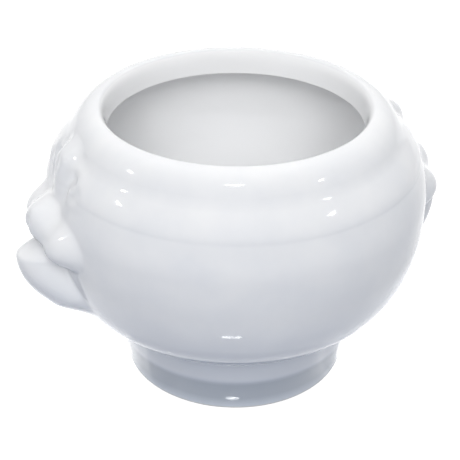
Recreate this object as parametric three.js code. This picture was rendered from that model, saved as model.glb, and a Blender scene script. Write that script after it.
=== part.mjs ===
// Mini soup tureen in white glazed porcelain: a round bowl with a heavy incurved rim,
// a flared foot luted under it and two lion-head lugs luted on opposite sides.
// Millimetres, +Z up, origin on the table under the middle of the bowl, heads on +X and -X.

import * as THREE from 'three';

// Bowl outside
const undersideHeight = 10.2; // lowest point of the bowl above the table
const bellyRadius = 42; // widest part of the bowl
const bellyDrop = 33.5; // from the widest part down to the underside
const bellyFullness = 2.74; // superellipse exponent of the lower belly
const domeRise = 32.8; // height at which the upper belly would close if it ran on
const domeFullness = 1.86; // superellipse exponent of the upper belly
const stepRise = 8.1; // widest part up to the step under the shoulder band
const bandRise = 6.2; // step up to the groove under the rim
const bandInset = 4.8; // step in to the groove
const bandNoseRise = 2.7; // step up to the corner that rounds the shoulder band
const bandNoseInset = 0.2; // step in to that corner
const rimRise = 5.4; // groove up to the crest of the rim
const rimWidth = 7.5; // groove in to the mouth
const rimShoulder = 3.3; // groove in to the corner that rounds the rim
const lipRound = 1.15; // rounding between the crest and the mouth

// Bowl inside
const wallThickness = 4.2;
const floorThickness = 4.4;
const rimDepth = 5.7; // crest down to the inner edge of the rim
const mouthUndercut = 0.9; // how far the mouth widens by that edge
const undercutDrop = 7.5; // inner edge down to the full inside width

// Foot
const footRadius = 24.7; // outside of the foot on the table
const footFlare = 5.1; // how much wider the foot is where it meets the bowl
const footWaist = 0.5; // how far the flare has come at the waist
const waistHeight = 6.2;
const footThickness = 5.2; // width of the ring on the table
const footEdge = 0.6; // bevel of the ring's edges

// Lion heads
const lutingGap = 0.3; // slip joint between separate pieces
const headHalfWidth = 19.5;
const headDrop = 25; // widest part of the bowl down to the bottom of a head
const crownRise = 3.2; // groove up to the top of a head
const outlineFullness = 2.4; // squareness of the head's outline, top and bottom
const seatDepth = 2.6; // how deep the bowl is dished behind a head
const seatBorder = 0.6; // where the dish starts to rise, as a share of the outline
const seatMargin = 1.2; // where the dish ends, past the outline
const edgeProud = 0.25; // a head's edge above the wall
const leastThickness = 0.6; // thinnest place of a head

const facePress = 1.5; // how far the forehead is pressed in between the eyes
const pressInner = 2; // where that press starts to fade, from the middle of the head
const pressOuter = 14; // where it has faded out
const pressFrom = -1; // where it starts, from the widest part of the bowl
const pressTo = 6; // where it is full
const edgeFade = 0.74; // where the features start to fade, as a share of the outline
const lobeLump = 0.5; // how much steeper a lobe gets towards its foot

const eyeSide = 6.4; // middle of an eye's hollow from the middle of the head
const eyeRise = 1.4; // hollows above the step
const eyeHollowWidth = 3;
const eyeHollowHeight = 2.6;
const eyeHollowDepth = 0.9;
const eyeballSide = 6.8;
const eyeballDrop = 0.9; // eyeballs below the middle of their hollows
const eyeballRadius = 1.9;
const eyeballRise = 1;

const browSide = 6.5; // middle of a brow ridge from the middle of the head
const browHeight = 5; // brow ridges above the step
const browArch = 0.06; // how fast a ridge falls to its ends
const browHalfWidth = 4.6;
const browThickness = 2;
const browRise = 1.1;

const noseHeight = 2.4; // nose tip above the widest part of the bowl
const noseHalfWidth = 3;
const noseThickness = 1.9;
const noseRise = 0.9;

const mouthDrop = 6.9; // widest part of the bowl down to the mouth
const mouthLift = 0.008; // curve of the mouth towards its corners
const mouthHalfWidth = 10.5;
const mouthDepth = 1.2;
const mouthGape = 1.1;

// Each lobe of the face: side and height of its peak (the height from the widest part of the
// bowl), reach beyond the bowl's radius there, its half width, its extents above and below, its
// depth, the power of its curve, how much gentler it falls towards the middle, how much wider
// it gets going down, and the softness of the crease where it meets the rest.
const plain = { side: 0, power: 2, inner: 1, bell: 0 };
const bridge = {
  ...plain, height: 7.5, reach: -0.9, halfWidth: 5, above: 11, below: 6.5, depth: 2.2, crease: 4,
};
const muzzle = {
  ...plain, height: -1.4, reach: 5.2, halfWidth: 9.4, above: 5.2, below: 6.4, depth: 4.6, crease: 2.5,
};
const pads = {
  ...plain, height: -2.6, reach: 3.3, halfWidth: 7.4, above: 5.2, below: 5.2, depth: 4.7, crease: 3.5,
  side: 7.4, power: 2.1, inner: 0.45,
};
const jaw = {
  ...plain, height: -8.9, reach: 8.5, halfWidth: 7, above: 3.2, below: 13.4, depth: 6.4, crease: 1.5,
  bell: 0.6,
};

// Facets
const lowerSteps = 16;
const upperSteps = 4;
const bandSteps = 5;
const rimSteps = 7;
const lipSteps = 3;
const undercutSteps = 5;
const insideSteps = 9;
const roundSegments = 64;
const headCrowding = 0.5; // share of the segments drawn towards the heads
const footSteps = 6;
const footTopSteps = 4;
const headColumns = 24;
const headRows = 30;
const endCrowding = 0.3; // share of a head's rows drawn towards its top and bottom
const outlineEnd = 0.975; // where the outline's rounded top and bottom are cut straight

// Heights and radii that follow
const bellyHeight = undersideHeight + bellyDrop;
const stepHeight = bellyHeight + stepRise;
const grooveHeight = stepHeight + bandRise;
const crestHeight = grooveHeight + rimRise;
const stepRadius = domeRadius(stepHeight);
const grooveRadius = stepRadius - bandInset;
const mouthRadius = grooveRadius - rimWidth;
const innerEdgeHeight = crestHeight - rimDepth;
const innerEdgeRadius = mouthRadius + mouthUndercut;
const floorHeight = undersideHeight + floorThickness;

function domeRadius(z) {
  const share = (z - bellyHeight) / domeRise;
  return bellyRadius * (1 - share ** domeFullness) ** (1 / domeFullness);
}

// Quarter of a superellipse below the widest height, from the axis out to the full radius.
function lowerCurve(radius, drop, steps) {
  const power = 2 / bellyFullness;
  const points = [];
  for (let i = 0; i <= steps; i += 1) {
    const angle = (Math.PI / 2) * (i / steps);
    const r = i === 0 ? 0 : radius * Math.sin(angle) ** power;
    const z = i === steps ? bellyHeight : bellyHeight - drop * Math.cos(angle) ** power;
    points.push(new THREE.Vector2(r, z));
  }
  return points;
}

function bend(start, corner, end, steps) {
  return new THREE.QuadraticBezierCurve(start, corner, end).getPoints(steps).slice(1);
}

// Outside of the bowl from the middle of the underside up to the crest of the rim.
function outerProfile() {
  const step = new THREE.Vector2(stepRadius, stepHeight);
  const groove = new THREE.Vector2(grooveRadius, grooveHeight);
  const crest = new THREE.Vector2(mouthRadius + lipRound, crestHeight);
  const points = lowerCurve(bellyRadius, bellyDrop, lowerSteps);
  for (let i = 1; i <= upperSteps; i += 1) {
    const z = bellyHeight + stepRise * (i / upperSteps);
    points.push(new THREE.Vector2(domeRadius(z), z));
  }
  const bandCorner = new THREE.Vector2(stepRadius - bandNoseInset, stepHeight + bandNoseRise);
  points.push(...bend(step, bandCorner, groove, bandSteps));
  const rimCorner = new THREE.Vector2(grooveRadius - rimShoulder, crestHeight);
  points.push(...bend(groove, rimCorner, crest, rimSteps));
  return points;
}

// Lip, mouth and inside of the bowl from the crest down to the middle of the floor.
function innerProfile() {
  const crest = new THREE.Vector2(mouthRadius + lipRound, crestHeight);
  const lip = new THREE.Vector2(mouthRadius, crestHeight - lipRound);
  const innerEdge = new THREE.Vector2(innerEdgeRadius, innerEdgeHeight);
  const insideRadius = bellyRadius - wallThickness;
  const insideTop = new THREE.Vector2(domeRadius(innerEdgeHeight - undercutDrop) - wallThickness,
    innerEdgeHeight - undercutDrop);
  const points = bend(crest, new THREE.Vector2(mouthRadius, crestHeight), lip, lipSteps);
  points.push(innerEdge);
  points.push(...bend(innerEdge, new THREE.Vector2(insideTop.x, innerEdgeHeight), insideTop, undercutSteps));
  points.push(...lowerCurve(insideRadius, bellyHeight - floorHeight, insideSteps).reverse());
  return points;
}

const outer = outerProfile();

// Outside radius of the plain bowl at a height, read off its profile.
function wallRadius(z) {
  let i = 1;
  while (i < outer.length - 1 && outer[i].y < z) i += 1;
  const below = outer[i - 1];
  const above = outer[i];
  const share = (z - below.y) / (above.y - below.y);
  return below.x + (above.x - below.x) * share;
}

// Head outline and dished seat
const headTop = grooveHeight + crownRise;
const headBottom = bellyHeight - headDrop;
const headMiddle = (headTop + headBottom) / 2;
const headHalfHeight = (headTop - headBottom) / 2;

// Zero in the middle of a head, one on its outline.
function outlineShare(side, z) {
  const upright = Math.abs((z - headMiddle) / headHalfHeight) ** outlineFullness;
  return Math.sqrt((side / headHalfWidth) ** 2 + upright);
}

// Depth of the dish pressed into the bowl behind a head.
function seatAt(side, z) {
  return seatDepth * (1 - THREE.MathUtils.smoothstep(outlineShare(side, z), seatBorder, seatMargin));
}

// Depth of the shallow press between the eyes.
function pressAt(side, z) {
  const across = 1 - THREE.MathUtils.smoothstep(Math.abs(side), pressInner, pressOuter);
  return facePress * across * THREE.MathUtils.smoothstep(z, bellyHeight + pressFrom, bellyHeight + pressTo);
}

// The bowl's wall, as the distance out along a head's axis.
function wallOut(side, z) {
  return Math.sqrt(Math.max(wallRadius(z) ** 2 - side ** 2, 0));
}

function softMax(a, b, blend) {
  const overlap = Math.max(blend - Math.abs(a - b), 0) / blend;
  return Math.max(a, b) + (overlap * overlap * blend) / 4;
}

function hump(x) {
  return Math.exp(-x * x);
}

// Domed lobe, the same on both sides of the head.
function lobeOut(lobe, side, z) {
  const height = bellyHeight + lobe.height;
  const halfWidth = lobe.halfWidth + lobe.bell * Math.max(height - z, 0);
  const across = (Math.abs(side) - lobe.side) / halfWidth;
  const upright = (z - height) / (z > height ? lobe.above : lobe.below);
  const inner = across < 0 ? lobe.inner : 1;
  const spread = inner * Math.abs(across) ** lobe.power + Math.abs(upright) ** lobe.power;
  return wallRadius(height) + lobe.reach - lobe.depth * (spread + lobeLump * spread ** 2);
}

// Brow ridges over hollows, with the eyeballs in them.
function eyesOut(apart, z) {
  const eyeHeight = stepHeight + eyeRise;
  const hollow = hump((apart - eyeSide) / eyeHollowWidth) * hump((z - eyeHeight) / eyeHollowHeight);
  const ballHeight = eyeHeight - eyeballDrop;
  const ball = hump((apart - eyeballSide) / eyeballRadius) * hump((z - ballHeight) / eyeballRadius);
  const ridgeHeight = stepHeight + browHeight - browArch * (apart - browSide) ** 2;
  const ridge = hump((apart - browSide) / browHalfWidth) * hump((z - ridgeHeight) / browThickness);
  return browRise * ridge + eyeballRise * ball - eyeHollowDepth * hollow;
}

// Nose tip, less the mouth.
function snoutOut(apart, z) {
  const nose = hump(apart / noseHalfWidth) * hump((z - bellyHeight - noseHeight) / noseThickness);
  const mouthHeight = bellyHeight - mouthDrop + mouthLift * apart ** 2;
  const mouth = hump((z - mouthHeight) / mouthGape) * hump((apart / mouthHalfWidth) ** 3);
  return noseRise * nose - mouthDepth * mouth;
}

// Lion's face: the distance out along the head's axis.
function faceOut(side, z) {
  const apart = Math.abs(side);
  let out = wallOut(side, z) - pressAt(side, z) + eyesOut(apart, z);
  for (const lobe of [bridge, muzzle, pads, jaw]) {
    out = softMax(out, lobeOut(lobe, side, z), lobe.crease);
  }
  return out + snoutOut(apart, z);
}

// Front of a head, brought down to the wall at its edge and never thinner than it can be.
function frontOut(side, z) {
  const wall = wallOut(side, z);
  const fade = 1 - THREE.MathUtils.smoothstep(outlineShare(side, z), edgeFade, 1);
  const front = wall + edgeProud + (faceOut(side, z) - wall - edgeProud) * fade;
  return Math.max(front, backOut(side, z) + leastThickness);
}

function backOut(side, z) {
  return wallOut(side, z) - seatAt(side, z) + lutingGap;
}

// A revolve about +Z of a profile of radius and height.
function revolve(profile) {
  const geometry = new THREE.LatheGeometry(profile, roundSegments);
  geometry.rotateX(Math.PI / 2);
  return geometry;
}

// Draw the segments towards the heads and press the two seats into the outside wall.
function pressSeats(geometry, outside) {
  const position = geometry.attributes.position;
  for (let i = 0; i < position.count; i += 1) {
    const z = position.getZ(i);
    const radius = Math.hypot(position.getX(i), position.getY(i));
    const evenAngle = Math.atan2(position.getY(i), position.getX(i));
    const angle = evenAngle - (headCrowding / 2) * Math.sin(2 * evenAngle);
    const side = radius * Math.sin(angle);
    const out = Math.abs(radius * Math.cos(angle));
    const inward = outside(radius, z) ? seatAt(side, z) : 0;
    const pressed = Math.hypot(Math.max(out - inward, 0), side);
    const share = radius > 0 ? pressed / radius : 1;
    position.setXYZ(i, Math.cos(angle) * radius * share, Math.sin(angle) * radius * share, z);
  }
  return geometry;
}

const glaze = { color: 0xf2f2f3, roughness: 0.08, metalness: 0 };

function piece(name, geometry, finish) {
  const mesh = new THREE.Mesh(geometry, new THREE.MeshStandardMaterial(finish));
  mesh.name = name;
  return mesh;
}

function bowlBody() {
  const geometry = revolve([...outer, ...innerProfile()]);
  const outside = (radius, z) => radius > wallRadius(z) - wallThickness / 2;
  return piece('bowl_body', pressSeats(geometry, outside), glaze);
}

// Flared ring whose top follows the bowl at the luting gap.
function pedestalFoot() {
  const innerRadius = footRadius - footThickness;
  const topRadius = footRadius + footFlare;
  const topHeight = (r) => {
    const share = (1 - (r / bellyRadius) ** bellyFullness) ** (1 / bellyFullness);
    return bellyHeight - bellyDrop * share - lutingGap;
  };
  const outerBottom = new THREE.Vector2(footRadius, footEdge);
  const waist = new THREE.Vector2(footRadius + footWaist, waistHeight);
  const outerTop = new THREE.Vector2(topRadius, topHeight(topRadius));
  const profile = [new THREE.Vector2(footRadius - footEdge, 0), outerBottom];
  profile.push(...bend(outerBottom, waist, outerTop, footSteps));
  for (let i = 1; i <= footTopSteps; i += 1) {
    const r = topRadius + (innerRadius - topRadius) * (i / footTopSteps);
    profile.push(new THREE.Vector2(r, topHeight(r)));
  }
  profile.push(new THREE.Vector2(innerRadius, footEdge));
  profile.push(new THREE.Vector2(innerRadius + footEdge, 0));
  profile.push(profile[0].clone());
  return piece('pedestal_foot', revolve(profile), glaze);
}

// Closed solid between the front and back of a head, on a grid that follows its outline.
function headGeometry() {
  const columns = headColumns + 1;
  const rows = headRows + 1;
  const vertices = [];
  for (const surface of [frontOut, backOut]) {
    for (let j = 0; j < rows; j += 1) {
      const even = (2 * j) / headRows - 1;
      const upright = outlineEnd * (even + endCrowding * (Math.sin((Math.PI / 2) * even) - even));
      const z = headMiddle + headHalfHeight * upright;
      const halfWidth = headHalfWidth * Math.sqrt(1 - Math.abs(upright) ** outlineFullness);
      for (let i = 0; i < columns; i += 1) {
        const side = halfWidth * ((2 * i) / headColumns - 1);
        vertices.push(surface(side, z), side, z);
      }
    }
  }
  const back = columns * rows;
  const at = (i, j) => j * columns + i;
  const rise = (from, to) => Math.abs(vertices[3 * from] - vertices[3 * to]);
  const faces = [];
  for (let j = 0; j < headRows; j += 1) {
    for (let i = 0; i < headColumns; i += 1) {
      const [a, b, c, d] = [at(i, j), at(i + 1, j), at(i + 1, j + 1), at(i, j + 1)];
      if (rise(a, c) < rise(b, d)) faces.push(a, b, c, a, c, d);
      else faces.push(b, c, d, b, d, a);
      faces.push(back + a, back + c, back + b, back + a, back + d, back + c);
    }
  }
  const border = [];
  for (let i = 0; i < headColumns; i += 1) border.push(at(i, 0));
  for (let j = 0; j < headRows; j += 1) border.push(at(headColumns, j));
  for (let i = headColumns; i > 0; i -= 1) border.push(at(i, headRows));
  for (let j = headRows; j > 0; j -= 1) border.push(at(0, j));
  border.forEach((here, k) => {
    const next = border[(k + 1) % border.length];
    faces.push(here, back + here, back + next, here, back + next, next);
  });
  const geometry = new THREE.BufferGeometry();
  geometry.setAttribute('position', new THREE.Float32BufferAttribute(vertices, 3));
  geometry.setIndex(faces);
  geometry.computeVertexNormals();
  return geometry;
}

const tureen = new THREE.Group();
tureen.add(bowlBody());
tureen.add(pedestalFoot());
for (const [name, turn] of [['lion_head_right', 0], ['lion_head_left', Math.PI]]) {
  const head = piece(name, headGeometry(), glaze);
  head.rotation.z = turn;
  tureen.add(head);
}

export default tureen;
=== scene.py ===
# White porcelain mini soup tureen: a round bowl, a flared foot and two lion-head lugs under one glaze.
# Sizes in the dictionaries are millimetres unless a note says otherwise; the scene is in metres.
import math
import bpy
import bmesh
import numpy as np
from mathutils import Matrix, Vector


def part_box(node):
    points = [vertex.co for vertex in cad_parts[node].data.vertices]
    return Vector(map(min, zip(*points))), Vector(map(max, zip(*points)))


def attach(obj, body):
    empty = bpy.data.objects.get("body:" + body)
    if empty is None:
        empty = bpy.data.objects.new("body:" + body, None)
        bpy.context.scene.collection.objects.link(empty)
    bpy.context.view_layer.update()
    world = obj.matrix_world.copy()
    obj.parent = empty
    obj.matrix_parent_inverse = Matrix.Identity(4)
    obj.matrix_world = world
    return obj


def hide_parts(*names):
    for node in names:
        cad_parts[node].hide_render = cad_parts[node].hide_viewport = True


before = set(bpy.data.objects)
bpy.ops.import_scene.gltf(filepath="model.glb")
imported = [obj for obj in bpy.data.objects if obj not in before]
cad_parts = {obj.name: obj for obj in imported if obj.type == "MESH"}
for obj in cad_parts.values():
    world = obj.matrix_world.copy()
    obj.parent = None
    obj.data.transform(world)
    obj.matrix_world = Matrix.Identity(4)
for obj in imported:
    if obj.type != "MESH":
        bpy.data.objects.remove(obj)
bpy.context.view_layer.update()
mm = 0.001
print("frame loaded:", sorted(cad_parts))


# curves that the profiles are drawn with

def smoothStep(value, low, high):
    share = np.clip((value - low) / (high - low), 0.0, 1.0)
    return share * share * (3.0 - 2.0 * share)


def hump(x):  # bell curve, one in the middle
    return np.exp(-x * x)


def softMax(a, b, blend):  # the larger of two, with a fillet where they cross
    overlap = np.maximum(blend - np.abs(a - b), 0.0) / blend
    return np.maximum(a, b) + overlap * overlap * blend / 4.0


def bend(start, corner, end, steps):  # quadratic curve without its first point
    share = np.linspace(0.0, 1.0, steps + 1)[1:, None]
    start, corner, end = (np.array(point, float) for point in (start, corner, end))
    return (1 - share) ** 2 * start + 2 * share * (1 - share) * corner + share ** 2 * end


def quarterBelly(radius, drop, top, fullness, steps):  # from the axis out to the widest part
    angle = np.linspace(0.0, math.pi / 2, steps + 1)
    r = radius * np.sin(angle) ** (2 / fullness)
    z = top - drop * np.clip(np.cos(angle), 0.0, 1.0) ** (2 / fullness)
    return np.column_stack([r, z])


# the bowl's profile: its girth, crest and underside come from the frame, the rest from the photo

bodyLow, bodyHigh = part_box("bowl_body")
bowl = {
    "bellyRadius": bodyHigh.y / mm,
    "crest": bodyHigh.z / mm,
    "underside": bodyLow.z / mm,
    "bellyDrop": 33.5, "bellyFullness": 2.74, "bellySteps": 70,  # a fullness of 2 is a plain ellipse
    "domeRise": 32.8, "domeFullness": 1.86, "domeSteps": 16,
    "stepRise": 8.1, "stepSoft": 1.5, "stepSteps": 5,
    "bandRise": 6.2, "bandInset": 4.4, "bandNoseRise": 1.8, "bandSteps": 16,
    "grooveSoft": 1.4, "grooveSteps": 12,
    "rimWidth": 7.9, "rimShoulder": 2.6, "rimSteps": 26,
    "lipRound": 1.5, "lipSlope": 0.6, "lipLean": 0.1, "lipSteps": 20,
    "rimDepth": 5.7, "edgeRound": 0.3, "edgeSteps": 4,
    "undercutDrop": 7.5, "undercutSteps": 18,
    "wall": 4.2, "floor": 4.4, "insideSteps": 60,
    "segments": 272, "crowding": 0.4,  # crowding brings the segments closer together at the heads
}
bellyHeight = bowl["underside"] + bowl["bellyDrop"]
stepHeight = bellyHeight + bowl["stepRise"]
grooveHeight = stepHeight + bowl["bandRise"]


def domeRadius(z):  # outside of the wall above its widest part
    share = (z - bellyHeight) / bowl["domeRise"]
    return bowl["bellyRadius"] * (1 - share ** bowl["domeFullness"]) ** (1 / bowl["domeFullness"])


def roundCorners(points, corners, reach, steps):  # replaces each sharp corner by a small curve
    done = [points[0]]
    for before, here, after in zip(points[:-2], points[1:-1], points[2:]):
        if not any(np.allclose(here, corner) for corner in corners):
            done.append(here)
            continue
        start = here + (before - here) * min(1.0, reach / np.linalg.norm(before - here))
        end = here + (after - here) * min(1.0, reach / np.linalg.norm(after - here))
        done.append(start)
        done.extend(bend(start, here, end, steps))
    done.append(points[-1])
    return np.array(done)


def softenNear(points, corner, reach, steps):  # one curve for all the points within reach of a corner
    apart = np.linalg.norm(points - corner, axis=1)
    near = np.where(apart < reach)[0]
    start, end = points[near[0] - 1], points[near[-1] + 1]
    return np.vstack([points[:near[0]], bend(start, corner, end, steps), points[near[-1] + 2:]])


def outerProfile():
    step = np.array([domeRadius(stepHeight), stepHeight])
    groove = step + np.array([-bowl["bandInset"], bowl["bandRise"]])
    mouth = groove[0] - bowl["rimWidth"]
    crest = np.array([mouth + bowl["lipRound"], bowl["crest"]])
    lower = quarterBelly(bowl["bellyRadius"], bowl["bellyDrop"], bellyHeight, bowl["bellyFullness"],
                         bowl["bellySteps"])
    heights = np.linspace(bellyHeight, stepHeight, bowl["domeSteps"] + 1)[1:]
    upper = np.column_stack([domeRadius(heights), heights])
    band = bend(step, (step[0], step[1] + bowl["bandNoseRise"]), groove, bowl["bandSteps"])
    rim = bend(groove, (groove[0] - bowl["rimShoulder"], bowl["crest"]), crest, bowl["rimSteps"])
    points = np.vstack([lower, upper, band, rim])
    points = roundCorners(points, [step], bowl["stepSoft"], bowl["stepSteps"])
    return softenNear(points, groove, bowl["grooveSoft"], bowl["grooveSteps"]), mouth


def innerProfile(mouth):
    crest = np.array([mouth + bowl["lipRound"], bowl["crest"]])
    edge = np.array([mouth - bowl["lipLean"], bowl["crest"] - bowl["rimDepth"]])
    topHeight = edge[1] - bowl["undercutDrop"]
    insideTop = np.array([domeRadius(topHeight) - bowl["wall"], topHeight])
    floorHeight = bowl["underside"] + bowl["floor"]
    lipCurve = bend(crest, (mouth, bowl["crest"] - bowl["lipSlope"]), edge, bowl["lipSteps"])
    undercut = bend(edge, (insideTop[0], edge[1]), insideTop, bowl["undercutSteps"])
    inside = quarterBelly(bowl["bellyRadius"] - bowl["wall"], bellyHeight - floorHeight, bellyHeight,
                          bowl["bellyFullness"], bowl["insideSteps"])[::-1]
    points = np.vstack([lipCurve, undercut, inside])
    return roundCorners(points, [edge], bowl["edgeRound"], bowl["edgeSteps"])


outer, mouthRadius = outerProfile()


def wallRadius(z):  # outside radius of the plain bowl at a height
    return np.interp(z, outer[:, 1], outer[:, 0])


# Geometry Nodes tree that turns a profile about the bowl's axis

seamReach = 0.001 * mm  # points of the turned seam and poles closer than this become one
doubleReach = 0.0001 * mm  # the same for the points of a closed shell


def revolveTree():
    tree = bpy.data.node_groups.new("turnedProfile", "GeometryNodeTree")
    sockets = {}
    for name, kind, way in (("Profile", "NodeSocketGeometry", "INPUT"),
                            ("Segments", "NodeSocketInt", "INPUT"),
                            ("Crowding", "NodeSocketFloat", "INPUT"),
                            ("Glaze", "NodeSocketMaterial", "INPUT"),
                            ("Turned", "NodeSocketGeometry", "OUTPUT")):
        sockets[name] = tree.interface.new_socket(name, in_out=way, socket_type=kind).identifier

    def node(kind, **settings):
        made = tree.nodes.new(kind)
        for key, value in settings.items():
            setattr(made, key, value)
        return made

    def math2(operation, a, b):
        made = node("ShaderNodeMath", operation=operation)
        for slot, value in zip(made.inputs, (a, b)):
            if isinstance(value, (int, float)):
                slot.default_value = value
            else:
                tree.links.new(value, slot)
        return made.outputs[0]

    given = node("NodeGroupInput")
    size = node("GeometryNodeAttributeDomainSize", component="CURVE")
    tree.links.new(given.outputs["Profile"], size.inputs["Geometry"])
    rings = size.outputs["Point Count"]
    grid = node("GeometryNodeMeshGrid")
    tree.links.new(math2("ADD", given.outputs["Segments"], 1), grid.inputs["Vertices X"])
    tree.links.new(rings, grid.inputs["Vertices Y"])
    index = node("GeometryNodeInputIndex").outputs[0]
    middle = math2("ADD", index, 0.5)  # half a step in, clear of rounding
    column = math2("FLOOR", math2("DIVIDE", middle, rings), 0)
    row = math2("SUBTRACT", index, math2("MULTIPLY", column, rings))
    plain = math2("MULTIPLY", math2("DIVIDE", column, given.outputs["Segments"]), 2 * math.pi)
    shift = math2("MULTIPLY", math2("SINE", math2("MULTIPLY", plain, 2), 0), given.outputs["Crowding"])
    turn = math2("SUBTRACT", plain, math2("MULTIPLY", shift, 0.5))  # half, because the angle is doubled
    sample = node("GeometryNodeSampleIndex", data_type="FLOAT_VECTOR", domain="POINT")
    tree.links.new(given.outputs["Profile"], sample.inputs["Geometry"])
    tree.links.new(node("GeometryNodeInputPosition").outputs[0], sample.inputs["Value"])
    tree.links.new(row, sample.inputs["Index"])
    place = node("ShaderNodeSeparateXYZ")
    tree.links.new(sample.outputs[0], place.inputs[0])
    swung = node("ShaderNodeCombineXYZ")
    tree.links.new(math2("MULTIPLY", place.outputs["X"], math2("COSINE", turn, 0)), swung.inputs["X"])
    tree.links.new(math2("MULTIPLY", place.outputs["X"], math2("SINE", turn, 0)), swung.inputs["Y"])
    tree.links.new(place.outputs["Z"], swung.inputs["Z"])
    setPlace = node("GeometryNodeSetPosition")
    tree.links.new(grid.outputs["Mesh"], setPlace.inputs["Geometry"])
    tree.links.new(swung.outputs[0], setPlace.inputs["Position"])
    merge = node("GeometryNodeMergeByDistance")
    merge.inputs["Distance"].default_value = seamReach
    tree.links.new(setPlace.outputs[0], merge.inputs["Geometry"])
    smooth = node("GeometryNodeSetShadeSmooth")
    tree.links.new(merge.outputs[0], smooth.inputs["Geometry"])
    realize = node("GeometryNodeRealizeInstances")
    tree.links.new(smooth.outputs[0], realize.inputs["Geometry"])
    finish = node("GeometryNodeSetMaterial")
    tree.links.new(realize.outputs[0], finish.inputs["Geometry"])
    tree.links.new(given.outputs["Glaze"], finish.inputs["Material"])
    out = node("NodeGroupOutput")
    tree.links.new(finish.outputs[0], out.inputs["Turned"])
    return tree, sockets


turnedProfile, turnedSockets = revolveTree()


def outwards(mesh):  # turns the faces of a closed mesh outwards
    shell = bmesh.new()
    shell.from_mesh(mesh)
    bmesh.ops.remove_doubles(shell, verts=shell.verts, dist=doubleReach)
    bmesh.ops.recalc_face_normals(shell, faces=shell.faces)
    if shell.calc_volume(signed=True) < 0:
        bmesh.ops.reverse_faces(shell, faces=shell.faces)
    shell.to_mesh(mesh)
    shell.free()


def turnedPiece(name, profile, segments, crowding, material):
    curve = bpy.data.curves.new(name + "Profile", "CURVE")
    curve.dimensions = "3D"
    spline = curve.splines.new("POLY")
    spline.points.add(len(profile) - 1)
    for point, (r, z) in zip(spline.points, profile):
        point.co = (r * mm, 0.0, z * mm, 1.0)
    sketch = bpy.data.objects.new(name + "Profile", curve)
    bpy.context.scene.collection.objects.link(sketch)
    modifier = sketch.modifiers.new("turn", "NODES")
    modifier.node_group = turnedProfile
    modifier[turnedSockets["Segments"]] = segments
    modifier[turnedSockets["Crowding"]] = crowding
    modifier[turnedSockets["Glaze"]] = material
    bpy.context.view_layer.update()
    evaluated = sketch.evaluated_get(bpy.context.evaluated_depsgraph_get())
    mesh = bpy.data.meshes.new_from_object(evaluated)
    sketch.modifiers.clear()
    bpy.data.objects.remove(sketch)
    outwards(mesh)
    mesh.name = name
    piece = bpy.data.objects.new(name, mesh)
    bpy.context.scene.collection.objects.link(piece)
    return piece


# the lion heads: a relief over the bowl's wall, as the distance out along the head's axis

lionHead = {
    "halfWidth": 19.5, "drop": 25.0, "crownRise": 3.2, "fullness": 2.4,
    "fade": 0.74, "meet": 0.97, "overlap": 1.03, "seatBorder": 0.6,  # shares of the outline
    "rowReach": 0.985,  # share of the half height, so that the end rows keep some width
    "tuck": 0.05, "seat": 2.6, "seatClear": 0.1, "edgeThick": 0.3,
    "press": 1.5, "pressInner": 2.0, "pressOuter": 14.0,  # sets the upper face back
    "pressFrom": -1.0, "pressTo": 6.0,
    "lobes": {  # peak: side, height from the widest part, reach past the wall; crease softens the join
        "bridge": {"side": 0, "height": 7.5, "reach": -0.9, "wide": 5.0, "above": 11.0, "below": 6.5,
                   "depth": 2.2, "crease": 4.0},
        "muzzle": {"side": 0, "height": -1.4, "reach": 5.2, "wide": 8.4, "above": 5.2, "below": 6.4,
                   "depth": 4.6, "crease": 2.5},
        "pads": {"side": 8.5, "height": -3.4, "reach": 3.3, "wide": 7.0, "above": 6.0, "below": 4.8,
                 "depth": 4.7, "crease": 3.8, "power": 2.1, "inner": 0.62},  # inner: flatter to the muzzle
        "jaw": {"side": 0, "height": -8.9, "reach": 8.35, "wide": 7.0, "above": 3.2, "below": 13.4,
                "depth": 6.4, "crease": 2.0, "bell": 0.6, "spread": 0.6, "flank": 0.6},
    },  # bell widens a lobe below its peak, spread and flank soften its join there and to the sides
    "lump": 0.5, "flankFrom": 5.0,  # lump makes every lobe fall away faster past its edge
    "browSide": 6.5, "browRise": 1.1, "browHigh": 5.0, "browArch": 0.06, "browWide": 4.6, "browThick": 2.0,
    "eyeSide": 6.4, "eyeRise": 1.4, "eyeWide": 3.0, "eyeHigh": 2.6, "eyeDeep": 0.75,
    "eyeball": 2.1, "eyeballRise": 0.8, "eyeballSide": 6.8, "eyeballDrop": 0.9,
    "noseHigh": 2.4, "noseRise": 0.9, "noseWide": 3.0, "noseThick": 1.9,
    "mouthDrop": 6.9, "mouthLift": 0.008, "mouthHalf": 7.0, "mouthSquare": 3,
    "mouthDeep": 1.2, "mouthGape": 1.1,
    "philtrumDeep": 0.6, "philtrumWide": 1.1, "philtrumSoft": 1.0, "philtrumFade": -0.5, "philtrumTop": 2.0,
    "flutes": 22, "fluteRise": 0.14, "fluteFrom": 0.5, "fluteFull": 0.72, "maneFrom": 3.0, "maneFull": 9.0,
    "columns": 150, "rows": 190,
}
headTop = grooveHeight + lionHead["crownRise"]
headBottom = bellyHeight - lionHead["drop"]
headMiddle = (headTop + headBottom) / 2
headHalfHeight = (headTop - headBottom) / 2


def outlineShare(side, z):  # zero in the middle of a head, one on its outline
    upright = np.abs((z - headMiddle) / headHalfHeight) ** lionHead["fullness"]
    return np.sqrt((side / lionHead["halfWidth"]) ** 2 + upright)


def wallOut(side, z):  # the plain wall, as far out as the face is measured
    return np.sqrt(np.maximum(wallRadius(z) ** 2 - side ** 2, 0.0))


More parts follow.
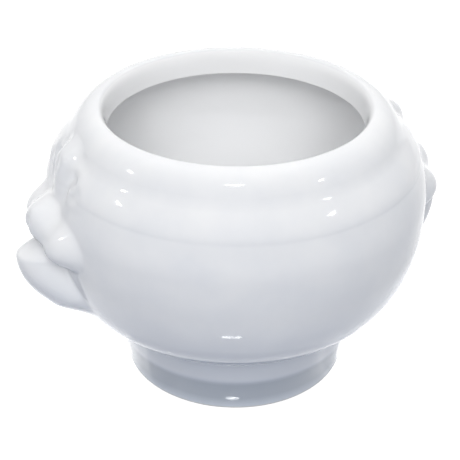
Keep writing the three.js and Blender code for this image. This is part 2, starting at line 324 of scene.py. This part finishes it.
def lobeOut(lobe, side, z):  # one rounded mass of the face
    height = bellyHeight + lobe["height"]
    wide = lobe["wide"] + lobe.get("bell", 0.0) * np.maximum(height - z, 0.0)
    across = (np.abs(side) - lobe["side"]) / wide
    upright = (z - height) / np.where(z > height, lobe["above"], lobe["below"])
    inner = np.where(across < 0, lobe.get("inner", 1.0), 1.0)
    power = lobe.get("power", 2.0)
    spread = inner * np.abs(across) ** power + np.abs(upright) ** power
    return wallRadius(height) + lobe["reach"] - lobe["depth"] * (spread + lionHead["lump"] * spread ** 2)


def eyesOut(apart, z):  # brow ridges over hollows, with the eyeballs in them
    head = lionHead
    height = stepHeight + head["eyeRise"]
    hollow = hump((apart - head["eyeSide"]) / head["eyeWide"]) * hump((z - height) / head["eyeHigh"])
    ballHeight = height - head["eyeballDrop"]
    ball = hump((apart - head["eyeballSide"]) / head["eyeball"]) * hump((z - ballHeight) / head["eyeball"])
    ridge = stepHeight + head["browHigh"] - head["browArch"] * (apart - head["browSide"]) ** 2
    brow = hump((apart - head["browSide"]) / head["browWide"]) * hump((z - ridge) / head["browThick"])
    return head["browRise"] * brow + head["eyeballRise"] * ball - head["eyeDeep"] * hollow


def snoutOut(apart, z):  # nose tip, less the mouth and the philtrum
    head = lionHead
    nose = hump(apart / head["noseWide"]) * hump((z - bellyHeight - head["noseHigh"]) / head["noseThick"])
    mouth = bellyHeight - head["mouthDrop"] + head["mouthLift"] * apart ** 2
    ends = hump((apart / head["mouthHalf"]) ** head["mouthSquare"])
    cut = head["mouthDeep"] * hump((z - mouth) / head["mouthGape"]) * ends
    lowEnd = smoothStep(z, mouth - head["philtrumSoft"], mouth + head["philtrumSoft"])
    highEnd = 1 - smoothStep(z, bellyHeight + head["philtrumFade"], bellyHeight + head["philtrumTop"])
    philtrum = head["philtrumDeep"] * hump(apart / head["philtrumWide"]) * lowEnd * highEnd
    return head["noseRise"] * nose - cut - philtrum


def maneOut(side, z):  # flutes that fan out round the face
    share = outlineShare(side, z)
    turn = np.arctan2(z - bellyHeight, side)
    ring = smoothStep(share, lionHead["fluteFrom"], lionHead["fluteFull"])
    ring = ring * smoothStep(z, bellyHeight + lionHead["maneFrom"], bellyHeight + lionHead["maneFull"])
    return lionHead["fluteRise"] * ring * np.cos(turn * lionHead["flutes"])


def faceOut(side, z):  # the whole face: lobes joined to the wall, then eyes, snout and mane
    apart = np.abs(side)
    press = lionHead["press"] * (1 - smoothStep(apart, lionHead["pressInner"], lionHead["pressOuter"]))
    press = press * smoothStep(z, bellyHeight + lionHead["pressFrom"], bellyHeight + lionHead["pressTo"])
    out = wallOut(side, z) - press + eyesOut(apart, z)
    for lobe in lionHead["lobes"].values():
        below = np.maximum(bellyHeight + lobe["height"] - z, 0.0)
        flank = np.maximum(apart - lionHead["flankFrom"], 0.0)
        crease = lobe["crease"] + lobe.get("spread", 0.0) * below + lobe.get("flank", 0.0) * flank
        out = softMax(out, lobeOut(lobe, side, z), crease)
    return out + snoutOut(apart, z) + maneOut(side, z)


def frontOut(side, z):  # the face, faded into the wall so that the glaze runs on
    wall = wallOut(side, z)
    share = outlineShare(side, z)
    fade = 1 - smoothStep(share, lionHead["fade"], lionHead["meet"])
    tuck = lionHead["tuck"] * smoothStep(share, lionHead["meet"], lionHead["overlap"])
    return wall + (faceOut(side, z) - wall) * fade - tuck


def seatAt(side, z):  # depth of the dish in the bowl behind a head
    share = outlineShare(side, z)
    return lionHead["seat"] * (1 - smoothStep(share, lionHead["seatBorder"], lionHead["meet"]))


def lionHeadPiece(name, turn, material):  # turn is 1 for the head on +X and -1 for the one on -X
    columns, rows = lionHead["columns"] + 1, lionHead["rows"] + 1
    upright = np.sin(np.linspace(-math.pi / 2, math.pi / 2, rows)) * lionHead["rowReach"]
    half = lionHead["halfWidth"] * np.sqrt(1 - np.abs(upright) ** lionHead["fullness"])
    across = np.linspace(-1.0, 1.0, columns)
    side = np.outer(half, across) * lionHead["overlap"]
    heights = headMiddle + headHalfHeight * upright * lionHead["overlap"]
    z = np.repeat(heights[:, None], columns, axis=1)
    front = np.stack([frontOut(side, z), side, z], axis=-1).reshape(-1, 3)
    depth = np.maximum(seatAt(side, z) - lionHead["seatClear"], lionHead["edgeThick"])
    back = np.stack([wallOut(side, z) - depth, side, z], axis=-1).reshape(-1, 3)
    points = np.vstack([front, back]) * mm
    points[:, :2] *= turn
    count = columns * rows
    grid = np.arange(count).reshape(rows, columns)
    quads = np.stack([grid[:-1, :-1], grid[:-1, 1:], grid[1:, 1:], grid[1:, :-1]], axis=-1).reshape(-1, 4)
    border = np.concatenate([grid[0, :-1], grid[:-1, -1], grid[-1, :0:-1], grid[:0:-1, 0]])
    after = np.roll(border, -1)
    sides = np.stack([border, border + count, after + count, after], axis=-1)
    faces = np.vstack([quads, quads[:, ::-1] + count, sides])
    mesh = bpy.data.meshes.new(name)
    mesh.from_pydata(points.tolist(), [], faces.tolist())
    mesh.materials.append(material)
    outwards(mesh)
    mesh.polygons.foreach_set("use_smooth", [True] * len(mesh.polygons))
    piece = bpy.data.objects.new(name, mesh)
    bpy.context.scene.collection.objects.link(piece)
    return piece


def pressSeats(piece):  # dishes the bowl behind both heads
    mesh = piece.data
    flat = np.zeros(len(mesh.vertices) * 3)
    mesh.vertices.foreach_get("co", flat)
    points = flat.reshape(-1, 3) / mm
    radius = np.hypot(points[:, 0], points[:, 1])
    outside = radius > wallRadius(points[:, 2]) - bowl["wall"] / 2
    inward = np.where(outside, seatAt(points[:, 1], points[:, 2]), 0.0)
    points[:, 0] -= np.sign(points[:, 0]) * np.minimum(inward, np.abs(points[:, 0]))
    mesh.vertices.foreach_set("co", (points * mm).ravel())
    inside = mesh.attributes.new("inside", "FLOAT", "POINT")  # read by the glaze
    inside.data.foreach_set("value", np.where(outside, 0.0, 1.0))
    mesh.update()


# glaze, with painted shade, reflection and interior light

glaze = {
    "white": (0.80, 0.805, 0.815, 1.0), "cool": (0.755, 0.765, 0.785, 1.0),
    # painted light: a lighter white inside the bowl stands in for light reaching the interior
    "inner": (0.825, 0.83, 0.84, 1.0),
    "paintedShadeTones": (  # painted shade and reflection outside: colour coming in from the first height down to the second
        ((0.65, 0.69, 0.77, 1.0), 34.0, 12.0),  # painted shade, darker and bluer low on the belly
        ((0.41, 0.455, 0.52, 1.0), 9.6, 7.6),  # painted shade and dark reflection, darkest round the foot
        ((0.60, 0.65, 0.72, 1.0), 3.2, 0.8),  # painted reflection, lighter again at the foot's edge
    ),
    "mottleScale": 90.0, "rippleScale": 260.0,  # per metre
    "cloudDetail": 3.0, "cloudLow": 0.35, "cloudHigh": 0.65,
    "sheenDetail": 5.0, "sheenLow": 0.3, "sheenHigh": 0.7, "sheenWarp": 0.6,
    "rippleDetail": 2.0, "rippleHeight": 0.02, "rippleStrength": 0.25,
    "roughness": 0.045, "roughSpread": 0.05, "refraction": 1.52,
}


def glazeGroup():  # cloudy tone, slight ripple and sheen that all the glazed pieces share
    group = bpy.data.node_groups.new("glazeVariation", "ShaderNodeTree")
    for name, kind, way in (("Mottle Scale", "NodeSocketFloat", "INPUT"),
                            ("Ripple Scale", "NodeSocketFloat", "INPUT"),
                            ("Cloud", "NodeSocketFloat", "OUTPUT"),
                            ("Sheen", "NodeSocketFloat", "OUTPUT"),
                            ("Ripple", "NodeSocketFloat", "OUTPUT")):
        group.interface.new_socket(name, in_out=way, socket_type=kind)
    given = group.nodes.new("NodeGroupInput")
    put = group.nodes.new("NodeGroupOutput")
    place = group.nodes.new("ShaderNodeTexCoord")
    for name, scale, detail, warp in (("Cloud", "Mottle Scale", "cloudDetail", 0.0),
                                      ("Sheen", "Mottle Scale", "sheenDetail", glaze["sheenWarp"]),
                                      ("Ripple", "Ripple Scale", "rippleDetail", 0.0)):
        noise = group.nodes.new("ShaderNodeTexNoise")
        noise.inputs["Detail"].default_value = glaze[detail]
        noise.inputs["Distortion"].default_value = warp
        group.links.new(place.outputs["Object"], noise.inputs["Vector"])
        group.links.new(given.outputs[scale], noise.inputs["Scale"])
        group.links.new(noise.outputs["Fac"], put.inputs[name])
    return group


glazeVariation = glazeGroup()


def mapRange(tree, value, low, high, toLow, toHigh):
    node = tree.nodes.new("ShaderNodeMapRange")
    for name, number in (("From Min", low), ("From Max", high), ("To Min", toLow), ("To Max", toHigh)):
        node.inputs[name].default_value = number
    tree.links.new(value, node.inputs["Value"])
    return node.outputs["Result"]


def mixed(tree, kind, factor, first, second):  # kind is RGBA for colours, VALUE for numbers
    node = tree.nodes.new("ShaderNodeMix")
    node.data_type = "RGBA" if kind == "RGBA" else "FLOAT"
    tree.links.new(factor, node.inputs["Factor"])
    for socket, value in (("A", first), ("B", second)):
        slot = [s for s in node.inputs if s.name == socket and s.type == kind][0]
        if isinstance(value, (tuple, float)):
            slot.default_value = value
        else:
            tree.links.new(value, slot)
    return [s for s in node.outputs if s.type == kind][0]


def glazeMaterial(name, finish):
    material = bpy.data.materials.new(name)
    material.use_nodes = True
    tree = material.node_tree
    shader = tree.nodes["Principled BSDF"]
    shader.inputs["IOR"].default_value = glaze["refraction"]
    shared = tree.nodes.new("ShaderNodeGroup")
    shared.node_tree = glazeVariation
    shared.inputs["Mottle Scale"].default_value = glaze["mottleScale"]
    shared.inputs["Ripple Scale"].default_value = glaze["rippleScale"]
    place = tree.nodes.new("ShaderNodeTexCoord")
    split = tree.nodes.new("ShaderNodeSeparateXYZ")
    tree.links.new(place.outputs["Object"], split.inputs[0])
    inside = tree.nodes.new("ShaderNodeAttribute")
    inside.attribute_name = "inside"

    def heightShare(start, end):  # nought at the first height, one at the second
        return mapRange(tree, split.outputs["Z"], start * mm, end * mm, 0.0, 1.0)

    cloud = mapRange(tree, shared.outputs["Cloud"], glaze["cloudLow"], glaze["cloudHigh"], 0.0, 1.0)
    colour = mixed(tree, "RGBA", cloud, glaze["white"], glaze["cool"])
    # painted light: the inside gets the lighter inner white
    colour = mixed(tree, "RGBA", inside.outputs["Fac"], colour, glaze["inner"])
    outside = mapRange(tree, inside.outputs["Fac"], 0.0, 1.0, 1.0, 0.0)
    # paints shade and reflection into the outside colour by height
    for paintedShade, start, end in glaze["paintedShadeTones"]:
        both = tree.nodes.new("ShaderNodeMath")
        both.operation = "MULTIPLY"
        tree.links.new(heightShare(start, end), both.inputs[0])
        tree.links.new(outside, both.inputs[1])
        colour = mixed(tree, "RGBA", both.outputs[0], colour, paintedShade)
    rough = mapRange(tree, shared.outputs["Sheen"], glaze["sheenLow"], glaze["sheenHigh"],
                     glaze["roughness"], glaze["roughness"] + glaze["roughSpread"])
    if finish:
        # painted reflection: the foot's top is lightened
        upper = heightShare(finish["reflectionLow"], finish["reflectionHigh"])
        colour = mixed(tree, "RGBA", upper, colour, finish["paintedReflection"])
        bare = heightShare(finish["bareHigh"], finish["bareLow"])
        colour = mixed(tree, "RGBA", bare, colour, finish["bare"])
        rough = mixed(tree, "VALUE", bare, rough, finish["bareRoughness"])
    tree.links.new(colour, shader.inputs["Base Color"])
    tree.links.new(rough, shader.inputs["Roughness"])
    bump = tree.nodes.new("ShaderNodeBump")
    bump.inputs["Strength"].default_value = glaze["rippleStrength"]
    bump.inputs["Distance"].default_value = glaze["rippleHeight"] * mm
    tree.links.new(shared.outputs["Ripple"], bump.inputs["Height"])
    tree.links.new(bump.outputs["Normal"], shader.inputs["Normal"])
    return material


footBareAndPaintedLight = {  # lighter at the top as painted reflection, bare where it stands
    "paintedReflection": (0.74, 0.77, 0.82, 1.0), "reflectionLow": 8.4, "reflectionHigh": 10.0,
    "bare": (0.76, 0.73, 0.68, 1.0), "bareLow": 0.25, "bareHigh": 0.7, "bareRoughness": 0.6,
}
whiteGlaze = glazeMaterial("whiteGlaze", None)
footGlaze = glazeMaterial("footGlaze", footBareAndPaintedLight)
print("glaze made")

# the foot: a flared ring whose top follows the bowl at the luting joint

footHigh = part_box("pedestal_foot")[1]
foot = {
    "top": footHigh.y / mm, "flare": 4.6, "waist": 0.5, "waistHeight": 6.2, "thick": 5.2, "edge": 0.6,
    "joint": 0.03,  # clear of the bowl
    "edgeSteps": 5, "sideSteps": 30, "topSteps": 11, "innerSteps": 13, "baseSteps": 4, "segments": 256,
}


def footProfile():
    radius = foot["top"] - foot["flare"]
    inner = radius - foot["thick"]

    def topAt(r):
        share = 1 - (r / bowl["bellyRadius"]) ** bowl["bellyFullness"]
        return bellyHeight - bowl["bellyDrop"] * share ** (1 / bowl["bellyFullness"]) - foot["joint"]

    edge = foot["edge"]
    outerTop = (foot["top"], topAt(foot["top"]))
    rows = [[(radius - edge, 0.0)]]
    rows.append(bend((radius - edge, 0.0), (radius, 0.0), (radius, edge), foot["edgeSteps"]))
    waist = (radius + foot["waist"], foot["waistHeight"])
    rows.append(bend((radius, edge), waist, outerTop, foot["sideSteps"]))
    topLine = np.linspace(foot["top"], inner, foot["topSteps"] + 1)[1:]
    rows.append(np.column_stack([topLine, topAt(topLine)]))
    rows.append(np.linspace((inner, topAt(inner)), (inner, edge), foot["innerSteps"] + 1)[1:])
    rows.append(bend((inner, edge), (inner, 0.0), (inner + edge, 0.0), foot["edgeSteps"]))
    rows.append(np.linspace((inner + edge, 0.0), (radius - edge, 0.0), foot["baseSteps"] + 1)[1:])
    return np.vstack(rows)


# assembly

bowlProfile = np.vstack([outer, innerProfile(mouthRadius)])
body = turnedPiece("bowl", bowlProfile, bowl["segments"], bowl["crowding"], whiteGlaze)
pressSeats(body)
pedestal = turnedPiece("foot", footProfile(), foot["segments"], 0.0, footGlaze)
leftHead = lionHeadPiece("lionHeadLeft", -1.0, whiteGlaze)
rightHead = lionHeadPiece("lionHeadRight", 1.0, whiteGlaze)
for piece, node in ((body, "bowl_body"), (pedestal, "pedestal_foot"),
                    (leftHead, "lion_head_left"), (rightHead, "lion_head_right")):
    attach(piece, "root")
    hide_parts(node)
    print(piece.name, "made with", len(piece.data.polygons), "faces")


# floor and light

studio = {  # in metres, degrees and watts
    "floorHalf": 1.6, "floorDrop": 0.00002,
    "floorBounce": (0.09, 0.12, 0.19, 1.0), "bounceRoughness": 0.5,  # what the floor gives back as light
    "floorShade": (0.45, 0.45, 0.45, 1.0), "floorGlow": 0.84,  # what the camera and the glaze see of it
    "floorMirror": 0.42, "mirrorRoughness": 0.008, "mirrorFull": 0.060, "mirrorEnd": 0.072,
    "backdrop": (1.0, 1.0, 1.0, 1.0), "backdropGlow": 1.0, "worldLight": 0.03,
    "aim": 0.035,  # height that the lamps point at
    "soft": (  # azimuth from the camera's side, elevation, distance, width, height, watts
        (0.0, 35.0, 0.9, 0.5, 0.5, 5.5),
        (0.0, 55.0, 0.9, 0.5, 0.5, 1.9),
        (-100.0, 30.0, 0.9, 0.5, 0.5, 1.9),
        (110.0, 35.0, 0.9, 0.5, 0.5, 2.0),
        (180.0, 50.0, 0.9, 0.6, 0.6, 4.3),
    ),
    "spark": (  # the bright middles of the lamps, seen only in the glaze
        (-2.0, 58.5, 0.8, 0.13, 0.05, 1.0),
        (-80.0, 33.0, 0.8, 0.05, 0.02, 0.18),
        (65.0, 37.0, 0.8, 0.06, 0.02, 0.2),
    ),
}
photoView = {  # fitted to the photo
    "place": (-82.3, -222.7, 173.9), "lens": 95.2, "sensor": 36.0, "nearest": 10.0,
    "azimuth": 20.0, "elevation": 30.98, "roll": -0.32,  # degrees
}


def seenFactor(tree):  # one for camera, mirror and see-through rays, which meet the white background
    path = tree.nodes.new("ShaderNodeLightPath")
    seen = path.outputs["Is Camera Ray"]
    for ray in ("Is Glossy Ray", "Is Transmission Ray"):
        most = tree.nodes.new("ShaderNodeMath")
        most.operation = "MAXIMUM"
        tree.links.new(seen, most.inputs[0])
        tree.links.new(path.outputs[ray], most.inputs[1])
        seen = most.outputs[0]
    return seen


def floorMaterial():
    material = bpy.data.materials.new("paleFloor")
    material.use_nodes = True
    tree = material.node_tree
    shader = tree.nodes["Principled BSDF"]
    shader.inputs["Base Color"].default_value = studio["floorBounce"]
    shader.inputs["Roughness"].default_value = studio["bounceRoughness"]
    matte = tree.nodes.new("ShaderNodeBsdfDiffuse")
    matte.inputs["Color"].default_value = studio["floorShade"]
    glow = tree.nodes.new("ShaderNodeEmission")
    glow.inputs["Strength"].default_value = studio["floorGlow"]
    pale = tree.nodes.new("ShaderNodeAddShader")
    tree.links.new(matte.outputs[0], pale.inputs[0])
    tree.links.new(glow.outputs[0], pale.inputs[1])
    mirror = tree.nodes.new("ShaderNodeBsdfGlossy")
    place = tree.nodes.new("ShaderNodeTexCoord")
    distance = tree.nodes.new("ShaderNodeVectorMath")
    distance.operation = "LENGTH"
    tree.links.new(place.outputs["Object"], distance.inputs[0])
    polish = mapRange(tree, distance.outputs["Value"], studio["mirrorFull"], studio["mirrorEnd"],
                      studio["floorMirror"], 0.0)
    tree.links.new(polish, mirror.inputs["Color"])
    mirror.inputs["Roughness"].default_value = studio["mirrorRoughness"]
    polished = tree.nodes.new("ShaderNodeAddShader")
    tree.links.new(pale.outputs[0], polished.inputs[0])
    tree.links.new(mirror.outputs[0], polished.inputs[1])
    shown = tree.nodes.new("ShaderNodeMixShader")  # only the glaze shows the lamps mirrored in the floor
    tree.links.new(tree.nodes.new("ShaderNodeLightPath").outputs["Is Glossy Ray"], shown.inputs[0])
    tree.links.new(pale.outputs[0], shown.inputs[1])
    tree.links.new(polished.outputs[0], shown.inputs[2])
    mix = tree.nodes.new("ShaderNodeMixShader")
    tree.links.new(seenFactor(tree), mix.inputs[0])
    tree.links.new(shader.outputs[0], mix.inputs[1])
    tree.links.new(shown.outputs[0], mix.inputs[2])
    tree.links.new(mix.outputs[0], tree.nodes["Material Output"].inputs["Surface"])
    return material


def makeFloor():
    half, low = studio["floorHalf"], -studio["floorDrop"]
    mesh = bpy.data.meshes.new("floor")
    corners = [(-half, -half, low), (half, -half, low), (half, half, low), (-half, half, low)]
    mesh.from_pydata(corners, [], [(0, 1, 2, 3)])
    mesh.materials.append(floorMaterial())
    floor = bpy.data.objects.new("floor", mesh)
    bpy.context.scene.collection.objects.link(floor)


def makeWorld():
    world = bpy.data.worlds.new("studio")
    world.use_nodes = True
    tree = world.node_tree
    back = tree.nodes["Background"]
    back.inputs["Color"].default_value = studio["backdrop"]
    strength = mixed(tree, "VALUE", seenFactor(tree), studio["worldLight"], studio["backdropGlow"])
    tree.links.new(strength, back.inputs["Strength"])
    bpy.context.scene.world = world


def lampAt(name, azimuth, elevation, distance, width, height, watts):
    turn = math.radians(azimuth - photoView["azimuth"])
    lift = math.radians(elevation)
    back = Vector((math.sin(turn) * math.cos(lift), -math.cos(turn) * math.cos(lift), math.sin(lift)))
    data = bpy.data.lights.new(name, "AREA")
    data.shape = "ELLIPSE"
    data.size = width
    data.size_y = height
    data.energy = watts
    lamp = bpy.data.objects.new(name, data)
    lamp.location = Vector((0.0, 0.0, studio["aim"])) + back * distance
    lamp.rotation_mode = "QUATERNION"
    lamp.rotation_quaternion = (-back).to_track_quat("-Z", "Y")
    bpy.context.scene.collection.objects.link(lamp)
    return lamp


def makeLights():
    for number, sizes in enumerate(studio["soft"]):
        lamp = lampAt(f"softLamp{number + 1}", *sizes)
        lamp.visible_glossy = False
    for number, sizes in enumerate(studio["spark"]):
        lamp = lampAt(f"sparkLamp{number + 1}", *sizes)
        lamp.visible_diffuse = False


def makeCamera():
    turn, lift, roll = (math.radians(photoView[key]) for key in ("azimuth", "elevation", "roll"))
    ahead = Vector((math.sin(turn) * math.cos(lift), math.cos(turn) * math.cos(lift), -math.sin(lift)))
    right = Vector((math.cos(turn), -math.sin(turn), 0.0))
    down = ahead.cross(right)
    rolledRight = right * math.cos(roll) + down * math.sin(roll)
    rolledDown = down * math.cos(roll) - right * math.sin(roll)
    data = bpy.data.cameras.new("photoCamera")
    data.lens = photoView["lens"]
    data.sensor_width = photoView["sensor"]
    data.clip_start = photoView["nearest"] * mm
    camera = bpy.data.objects.new("photoCamera", data)
    axes = Matrix((rolledRight, -rolledDown, -ahead)).transposed()
    camera.matrix_world = Matrix.Translation(Vector(photoView["place"]) * mm) @ axes.to_4x4()
    bpy.context.scene.collection.objects.link(camera)
    bpy.context.scene.camera = camera


makeFloor()
makeWorld()
makeLights()
makeCamera()
bpy.context.scene.view_settings.view_transform = "Standard"
print("studio set")
